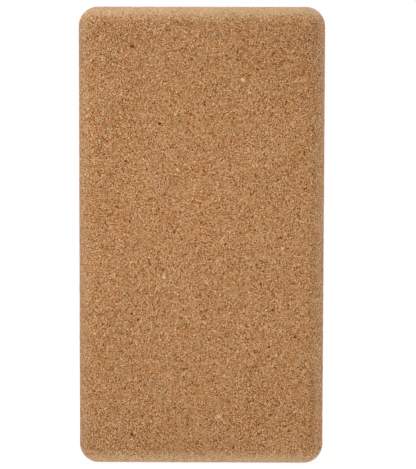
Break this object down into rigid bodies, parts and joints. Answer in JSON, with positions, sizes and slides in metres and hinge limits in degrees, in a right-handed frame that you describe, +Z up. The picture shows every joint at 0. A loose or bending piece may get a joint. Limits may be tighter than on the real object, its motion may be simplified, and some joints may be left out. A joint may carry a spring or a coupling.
{
  "type": "yoga block",
  "caption": "Rectangular block of pressed cork granulate with rounded-over edges, to stand or lean on in yoga, pilates and therapy exercises.",
  "frame": {"origin": "middle of the bottom end, on which the block stands", "axes": "+Z up along the block's length, -Y out of the broad front face, X across the block's width"},
  "size_m": [0.12, 0.075, 0.224],
  "materials": {
    "cork": "fine pressed cork granulate, sanded, matt",
    "bark": "dark outer bark of the cork oak, sanded flush, matt",
    "pale_cork": "pale clean cork, sanded flush, matt"
  },
  "bodies": {
    "root": {"cork_body": "cork", "front_bark_granules": "bark", "front_pale_granules": "pale_cork", "back_bark_granules": "bark", "back_pale_granules": "pale_cork", "left_bark_granules": "bark", "left_pale_granules": "pale_cork", "right_bark_granules": "bark", "right_pale_granules": "pale_cork", "top_end_bark_granules": "bark", "top_end_pale_granules": "pale_cork", "bottom_end_bark_granules": "bark", "bottom_end_pale_granules": "pale_cork"}
  },
  "joints": []
}
